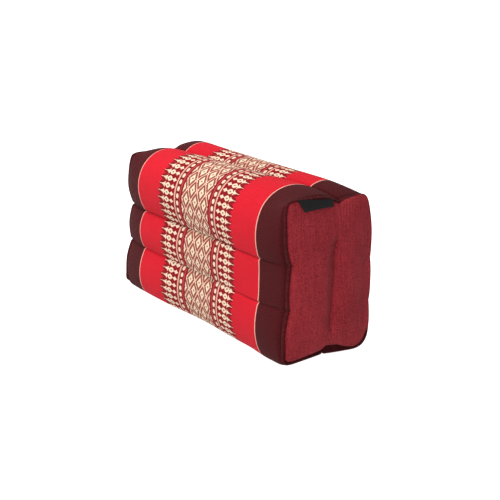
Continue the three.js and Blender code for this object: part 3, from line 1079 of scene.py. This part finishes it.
def panel_rings(panel, side):
    """Rings of a panel's closed sheet: out over its back, round the sewn edge and in over its face."""
    rim, crest = panel_outline()
    count = len(rim)
    half = count // 2
    up = np.minimum(np.arange(count), count - np.arange(count))
    share = np.clip((up - EDGE_STEPS) / (half - 2 * EDGE_STEPS), 0, 1)[:, None]
    spine = np.array(CREASE_LOW) + (np.array(CREASE_TOP) - np.array(CREASE_LOW)) * share
    reach = np.linalg.norm(spine - rim, axis=1)
    flush = flush_share(*rim.T)
    narrow = 1 - FLUSH_INSET * flush
    fade = ramp(rim[:, 0], LOW_EDGE_FADE_Y)
    under = ramp(rim[:, 0], LOW_EDGE_TURN_Y) * fade
    low_edge = LOW_EDGE_RISE["front"] + (LOW_EDGE_RISE["back"] - LOW_EDGE_RISE["front"]) * under
    low_edge = low_edge * ramp(rim[:, 1], LOW_EDGE_FADE_Z) * fade

    def ring(inset, offset):
        inward = (inset * narrow / reach)[:, None]
        inward = inward + (low_edge / reach)[:, None] * (1 - inward)
        y, z = (rim + (spine - rim) * inward).T
        near_rim = (1 - np.clip(inward[:, 0], 0, 1)) ** 2
        pull = SEAM_PULL * (1 - crest) ** 2 * near_rim
        rise = panel_rise(panel, y, z) * ramp(inset, CROWN_START)
        at = np.full(count, side * SEAM_X)
        puff = end_puff(at, crest) * near_rim
        z = z - left_droop(at, y, z)
        y = y - left_shift(at, y, z)
        x = side * (SEAM_X - pull + rise + offset) + puff
        return np.stack([x + left_lean(at, y, z), y, z], axis=1)

    first = WELT[-1].inset
    inner = [first + (reach / narrow - first) * part for part in np.linspace(0, 1, PANEL_RINGS + 1)]
    back = [ring(inset, -panel.thickness / MM) for inset in inner[::-BACK_STRIDE]]
    turned = [ring(np.full(count, edge.inset), edge.rise) for edge in TURNED_EDGE]
    welt = [ring(np.full(count, edge.inset), edge.rise * (1 - flush)) for edge in WELT]
    face = [ring(inset, 0) for inset in inner[1:]]
    return back + turned + welt + face


class CUSHION_OT_panels(bpy.types.Operator):
    """Build the two end panels, with the welt of their sewn edge"""

    bl_idname = "cushion.panels"
    bl_label = "End panels"

    def execute(self, context):
        panel = context.scene.cushion_panel
        material = panel_material(panel)
        for name, side in SIDES.items():
            rings = panel_rings(panel, side)
            count = len(rings[0])
            points = np.concatenate(rings) * MM
            piece = make_object("panel_" + name, points, ring_faces(count, len(rings)), material)
            tidy_mesh(piece)
            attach(piece, BODY)
            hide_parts(PANEL_NODES[name])
        return {"FINISHED"}


LABEL_ENDS = {"left": -38.0, "right": 3.6}  # y of the label's ends at its sewn edge, in millimetres
LABEL_TOP_Z = {"left": 168.6, "right": 164.6}
LABEL_DROP = {"left": 11.4, "right": 5.6}
LABEL_SLANT = {"left": 5.0, "right": -3.0}  # how far each end slants in towards the free edge
LABEL_LIFT = 2.0  # how far the free edge stands off the panel
LABEL_GAP = 0.6
LABEL_LAYERS = 1.35  # distance between the tape's two layers, in thicknesses
LABEL_WAVE = 0.35  # how unevenly the free edge stands off
LABEL_STEPS = {"across": 24, "down": 10, "fold": 6}


def label_section():
    """Mid-line of the folded tape: down its back layer, round the fold and up its front layer, as shares of
    the drop and as sides from 0, back, to 1, front, with the direction that the tape faces."""
    down = np.linspace(0, 1, LABEL_STEPS["down"] + 1)
    turn = np.linspace(0, math.pi, LABEL_STEPS["fold"] + 1)[1:-1]
    drop = np.concatenate([down, np.ones(len(turn)), down[::-1]])
    front = np.concatenate([down * 0, (1 - np.cos(turn)) / 2, down * 0 + 1])
    facing = np.concatenate([down * 0 + math.pi, math.pi - turn, down * 0])
    bulge = np.concatenate([down * 0, np.sin(turn), down * 0])
    return drop, front, facing, bulge


class CUSHION_OT_label(bpy.types.Operator):
    """Build the folded label of bare tape in the top seam"""

    bl_idname = "cushion.label"
    bl_label = "Label"

    def execute(self, context):
        label = context.scene.cushion_label
        panel = context.scene.cushion_panel
        thick = label.thickness / MM
        spread = thick * LABEL_LAYERS
        drop, front, facing, bulge = label_section()
        rings = []
        for share in np.linspace(0, 1, LABEL_STEPS["across"] + 1):
            across, top, length, slant = (
                ends["left"] + (ends["right"] - ends["left"]) * share
                for ends in (LABEL_ENDS, LABEL_TOP_Z, LABEL_DROP, LABEL_SLANT)
            )
            loop = []
            for sign in (1, -1):
                away = sign * thick / 2
                z = top - length * drop - bulge * spread / 2 - away * np.sin(facing)
                y = across + slant * drop
                crown = panel_rise(panel, y, z)
                curl = LABEL_LIFT * drop**2 * (1 + LABEL_WAVE * math.cos(2 * math.pi * share))
                x = SEAM_X + crown + LABEL_GAP + curl + thick / 2 + front * spread + away * np.cos(facing)
                side = np.stack([x, y, z], axis=1)
                loop.append(side if sign > 0 else side[::-1])
            rings.append(np.concatenate(loop))
        count = len(rings[0])
        points = np.concatenate(rings) * MM
        faces = ring_faces(count, len(rings))
        last = (len(rings) - 1) * count
        for i in range(count // 2 - 1):
            strip = (i, i + 1, count - 2 - i, count - 1 - i)
            faces.append(strip)
            faces.append(tuple(last + corner for corner in strip))
        piece = make_object("label", points, faces, label_material(label))
        tidy_mesh(piece)
        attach(piece, BODY)
        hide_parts(LABEL_NODE)
        return {"FINISHED"}


def stitch_nodes():
    """A node group that sews stitches along the edges of a mesh."""
    tree = bpy.data.node_groups.new("stitches", "GeometryNodeTree")
    face = tree.interface
    face.new_socket("Seams", in_out="INPUT", socket_type="NodeSocketGeometry")
    for name in ("Pitch", "Length", "Thickness"):
        face.new_socket(name, in_out="INPUT", socket_type="NodeSocketFloat")
    face.new_socket("Thread", in_out="INPUT", socket_type="NodeSocketMaterial")
    face.new_socket("Stitches", in_out="OUTPUT", socket_type="NodeSocketGeometry")

    def node(kind, **settings):
        made = tree.nodes.new(kind)
        for name, value in settings.items():
            setattr(made, name, value)
        return made

    given = node("NodeGroupInput")
    curve = node("GeometryNodeMeshToCurve")
    spaced_out = node("GeometryNodeResampleCurve", mode="LENGTH")
    ball = node("GeometryNodeMeshIcoSphere")
    ball.inputs["Radius"].default_value = 0.5
    ball.inputs["Subdivisions"].default_value = 2
    size = node("ShaderNodeCombineXYZ")
    shaped = node("GeometryNodeTransform")
    tangent = node("GeometryNodeInputTangent")
    turned = node("FunctionNodeAlignRotationToVector", axis="X")
    sewn = node("GeometryNodeInstanceOnPoints")
    real = node("GeometryNodeRealizeInstances")
    soft = node("GeometryNodeSetShadeSmooth")
    painted = node("GeometryNodeSetMaterial")
    result = node("NodeGroupOutput")
    links = [
        (given.outputs["Seams"], curve.inputs["Mesh"]),
        (curve.outputs["Curve"], spaced_out.inputs["Curve"]),
        (given.outputs["Pitch"], spaced_out.inputs["Length"]),
        (given.outputs["Length"], size.inputs["X"]),
        (given.outputs["Thickness"], size.inputs["Y"]),
        (given.outputs["Thickness"], size.inputs["Z"]),
        (ball.outputs["Mesh"], shaped.inputs["Geometry"]),
        (size.outputs["Vector"], shaped.inputs["Scale"]),
        (tangent.outputs["Tangent"], turned.inputs["Vector"]),
        (spaced_out.outputs["Curve"], sewn.inputs["Points"]),
        (shaped.outputs["Geometry"], sewn.inputs["Instance"]),
        (turned.outputs["Rotation"], sewn.inputs["Rotation"]),
        (sewn.outputs["Instances"], real.inputs["Geometry"]),
        (real.outputs["Geometry"], soft.inputs["Geometry"]),
        (soft.outputs["Geometry"], painted.inputs["Geometry"]),
        (given.outputs["Thread"], painted.inputs["Material"]),
        (painted.outputs["Geometry"], result.inputs["Stitches"]),
    ]
    for source, target in links:
        tree.links.new(source, target)
    return tree


STITCH_STAND = 1.2  # how far a stitch stands out of its seam, in thicknesses


class CUSHION_OT_stitches(bpy.types.Operator):
    """Sew the stitches that show in the channel seams"""

    bl_idname = "cushion.stitches"
    bl_label = "Stitches"

    def execute(self, context):
        stitch = context.scene.cushion_stitch
        cover = context.scene.cushion_cover
        section, _ = cover_section()
        grid = cover_grid(section, 0)
        sunk = tuck_seams(grid * MM, section, cover.seam_tuck - stitch.thickness * STITCH_STAND)
        lines = sunk[:, section.seam_gap < ON_SEAM].transpose(1, 0, 2)
        points = lines.reshape(-1, 3)
        run = lines.shape[1]
        edges = [(s * run + i, s * run + i + 1) for s in range(len(lines)) for i in range(run - 1)]
        thread = thread_material(stitch)
        piece = make_object("stitches", points, [], thread, edges)
        tree = stitch_nodes()
        sewing = piece.modifiers.new("Stitches", "NODES")
        sewing.node_group = tree
        values = {
            "Pitch": stitch.pitch,
            "Length": stitch.length,
            "Thickness": stitch.thickness,
            "Thread": thread,
        }
        for item in tree.interface.items_tree:
            if item.in_out == "INPUT" and item.name in values:
                sewing[item.identifier] = values[item.name]
        settle(piece)
        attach(piece, BODY)
        return {"FINISHED"}


FLOOR_REACH = 40.0  # metres from the block to the floor's edge
DARK_SIDE = Vector((0.55, 0.75, -0.37))  # towards the dark side of the studio
# Soft lights: the property that holds each one's power, its width and its place in metres
Light = namedtuple("Light", "name size place")
LIGHTS = [
    Light("overhead", 1.0, (-0.35, -0.55, 1.3)),
    Light("window", 1.0, (1.9, -2.2, 0.25)),
]


def studio_world(stage):
    """Light from all round, dimmer on one side, behind a background that stays white."""
    world = bpy.data.worlds.new("studio")
    world.use_nodes = True
    nodes, links = world.node_tree.nodes, world.node_tree.links
    facing = nodes.new("ShaderNodeTexCoord")
    towards = nodes.new("ShaderNodeVectorMath")
    towards.operation = "DOT_PRODUCT"
    towards.inputs[1].default_value = DARK_SIDE
    strength = nodes.new("ShaderNodeMapRange")
    strength.inputs["To Min"].default_value = stage.sky
    strength.inputs["To Max"].default_value = stage.sky * (1 - stage.dimming)
    path = nodes.new("ShaderNodeLightPath")
    shown = nodes.new("ShaderNodeMath")
    shown.operation = "MAXIMUM"
    sky = nodes["Background"]
    sky.inputs["Color"].default_value = (1, 1, 1, 1)
    links.new(facing.outputs["Generated"], towards.inputs[0])
    links.new(towards.outputs["Value"], strength.inputs["Value"])
    links.new(strength.outputs["Result"], shown.inputs[0])
    links.new(path.outputs["Is Camera Ray"], shown.inputs[1])
    links.new(shown.outputs["Value"], sky.inputs["Strength"])
    return world


class CUSHION_OT_stage(bpy.types.Operator):
    """Set up the floor, the light and the camera"""

    bl_idname = "cushion.stage"
    bl_label = "Stage"

    def execute(self, context):
        stage = context.scene.cushion_stage
        finish = Finish("pale_floor")
        pale = finish.surface(
            Base_Color=tuple(stage.floor), Roughness=1.0, Specular_IOR_Level=0.0,
            Emission_Color=(1.0, 1.0, 1.0), Emission_Strength=stage.glow,
        )
        corners = [(x * FLOOR_REACH, y * FLOOR_REACH, 0) for x, y in ((-1, -1), (1, -1), (1, 1), (-1, 1))]
        floor = make_object("floor", corners, [(0, 1, 2, 3)], pale)
        floor.visible_diffuse = False
        context.scene.world = studio_world(stage)

        for light in LIGHTS:
            lamp = bpy.data.lights.new(light.name, "AREA")
            lamp.energy = getattr(stage, light.name)
            lamp.size = light.size
            hung = bpy.data.objects.new(light.name, lamp)
            hung.location = light.place
            aim = Vector(light.place) - Vector((0, 0, MIDDLE_Z * MM))
            hung.rotation_euler = aim.to_track_quat("Z", "Y").to_euler()
            context.collection.objects.link(hung)

        a, e, r = stage.azimuth, stage.elevation, stage.roll
        back = Vector((math.sin(a) * math.cos(e), -math.cos(a) * math.cos(e), math.sin(e)))
        level = Vector((math.cos(a), math.sin(a), 0))
        upright = back.cross(level)
        right = level * math.cos(r) + upright * math.sin(r)
        up = upright * math.cos(r) - level * math.sin(r)
        data = bpy.data.cameras.new("photo_view")
        data.lens = stage.lens
        camera = bpy.data.objects.new("photo_view", data)
        turned = Matrix((right, up, back)).transposed().to_4x4()
        camera.matrix_world = Matrix.Translation(stage.place) @ turned
        context.collection.objects.link(camera)
        context.scene.camera = camera
        context.scene.view_settings.view_transform = "Standard"
        return {"FINISHED"}


class CUSHION_PT_sidebar(bpy.types.Panel):
    """Lists the cushion's pieces"""

    bl_label = "Yoga block cushion"
    bl_space_type = "VIEW_3D"
    bl_region_type = "UI"
    bl_category = "Cushion"

    def draw(self, context):
        for operator in OPERATORS:
            self.layout.operator(operator.bl_idname)


GROUPS = {
    "cushion_cover": CushionCover,
    "cushion_panel": CushionPanel,
    "cushion_label": CushionLabel,
    "cushion_stitch": CushionStitch,
    "cushion_stage": CushionStage,
}
OPERATORS = [
    CUSHION_OT_cover,
    CUSHION_OT_panels,
    CUSHION_OT_label,
    CUSHION_OT_stitches,
    CUSHION_OT_stage,
]


def register():
    for group in GROUPS.values():
        bpy.utils.register_class(group)
    for name, group in GROUPS.items():
        setattr(bpy.types.Scene, name, bpy.props.PointerProperty(type=group))
    for operator in OPERATORS:
        bpy.utils.register_class(operator)
    bpy.utils.register_class(CUSHION_PT_sidebar)


def unregister():
    bpy.utils.unregister_class(CUSHION_PT_sidebar)
    for operator in reversed(OPERATORS):
        bpy.utils.unregister_class(operator)
    for name in GROUPS:
        delattr(bpy.types.Scene, name)
    for group in reversed(list(GROUPS.values())):
        bpy.utils.unregister_class(group)


def main():
    register()
    bpy.ops.cushion.cover()
    bpy.ops.cushion.panels()
    bpy.ops.cushion.label()
    bpy.ops.cushion.stitches()
    bpy.ops.cushion.stage()


if __name__ == "__main__":
    main()
